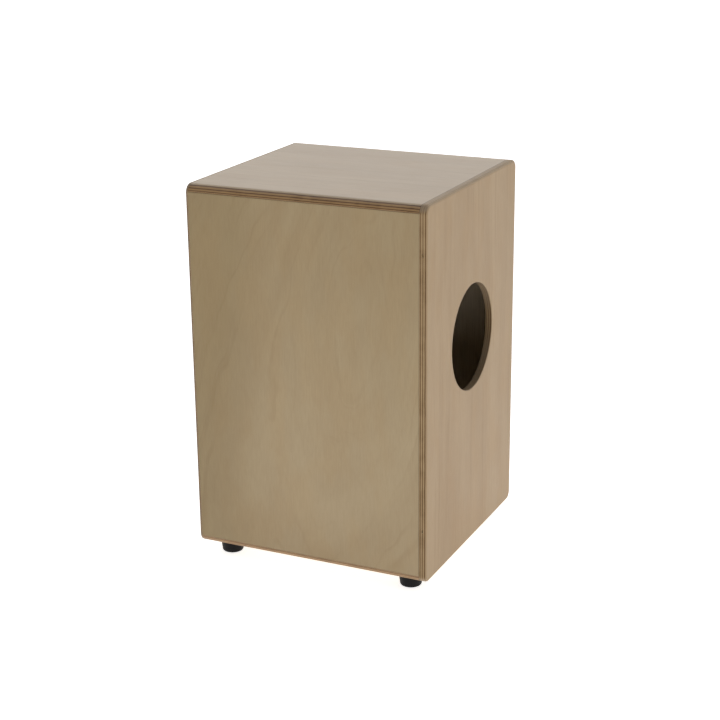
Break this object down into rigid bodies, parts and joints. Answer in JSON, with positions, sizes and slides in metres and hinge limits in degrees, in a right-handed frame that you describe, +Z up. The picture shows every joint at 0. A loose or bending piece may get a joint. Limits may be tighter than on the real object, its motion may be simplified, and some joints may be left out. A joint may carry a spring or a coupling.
{
  "type": "cajon",
  "caption": "Box-shaped hand drum of plywood: thin screwed-on playing face, round sound hole in the back, internal strings with key-turned adjusters, rubber feet.",
  "frame": {"origin": "on the floor, under the middle of the box", "axes": "+Z up from the feet to the seat, -Y out of the playing face (tapa), +Y out of the back panel with the sound hole, +X to the right as seen from in front of the playing face"},
  "size_m": [0.294, 0.312, 0.48],
  "materials": {
    "birch_plywood": "satin",
    "tapa_veneer": "satin",
    "pine": "matte",
    "beech": "matte",
    "string_steel": "satin",
    "brass": "satin",
    "yoke_steel": "satin",
    "zinc_steel": "satin",
    "black_steel": "satin",
    "foot_rubber": "matte"
  },
  "bodies": {
    "cabinet": {"back_panel": "birch_plywood", "back_strip_bottom": "pine", "back_strip_left": "pine", "back_strip_right": "pine", "back_strip_top": "pine", "bolt_bush_left": "zinc_steel", "bolt_bush_right": "zinc_steel", "bottom_panel": "birch_plywood", "channel_screws": "zinc_steel", "foot_back_left": "foot_rubber", "foot_back_right": "foot_rubber", "foot_front_left": "foot_rubber", "foot_front_right": "foot_rubber", "foot_screws": "zinc_steel", "foot_washers": "zinc_steel", "front_batten_bottom": "pine", "front_batten_left": "pine", "front_batten_right": "pine", "front_batten_top": "pine", "left_side_panel": "birch_plywood", "lower_string_bar": "beech", "right_side_panel": "birch_plywood", "string_1": "string_steel", "string_2": "string_steel", "string_3": "string_steel", "string_4": "string_steel", "string_ball_ends": "brass", "tapa": "tapa_veneer", "tapa_screws": "black_steel", "top_panel": "birch_plywood", "upper_string_bar": "beech", "yoke_channel_left": "zinc_steel", "yoke_channel_right": "zinc_steel"},
    "bolt_left": {"tension_bolt_left": "black_steel", "lock_nut_left": "zinc_steel"},
    "yoke_left": {"string_yoke_left": "yoke_steel", "yoke_grub_screws_left": "black_steel"},
    "bolt_right": {"tension_bolt_right": "black_steel", "lock_nut_right": "zinc_steel"},
    "yoke_right": {"string_yoke_right": "yoke_steel", "yoke_grub_screws_right": "black_steel"}
  },
  "joints": [
    {"name": "bolt_turn_left", "type": "hinge", "parent": "cabinet", "child": "bolt_left", "pos_m": [-0.056, -0.125, 0.0175], "axis": [0, 0, 1], "range_deg": [-1080, 1080]},
    {"name": "yoke_travel_left", "type": "slide", "parent": "cabinet", "child": "yoke_left", "axis": [0, 0, 1], "range_m": [-0.003, 0.003], "deforming": ["string_1", "string_2"]},
    {"name": "bolt_turn_right", "type": "hinge", "parent": "cabinet", "child": "bolt_right", "pos_m": [0.056, -0.125, 0.0175], "axis": [0, 0, 1], "range_deg": [-1080, 1080]},
    {"name": "yoke_travel_right", "type": "slide", "parent": "cabinet", "child": "yoke_right", "axis": [0, 0, 1], "range_m": [-0.003, 0.003], "deforming": ["string_3", "string_4"]}
  ],
  "couplings": [
    {"joint": "bolt_turn_left", "follows": "yoke_travel_left", "rad_per_m": -6283.2},
    {"joint": "bolt_turn_right", "follows": "yoke_travel_right", "rad_per_m": -6283.2}
  ]
}
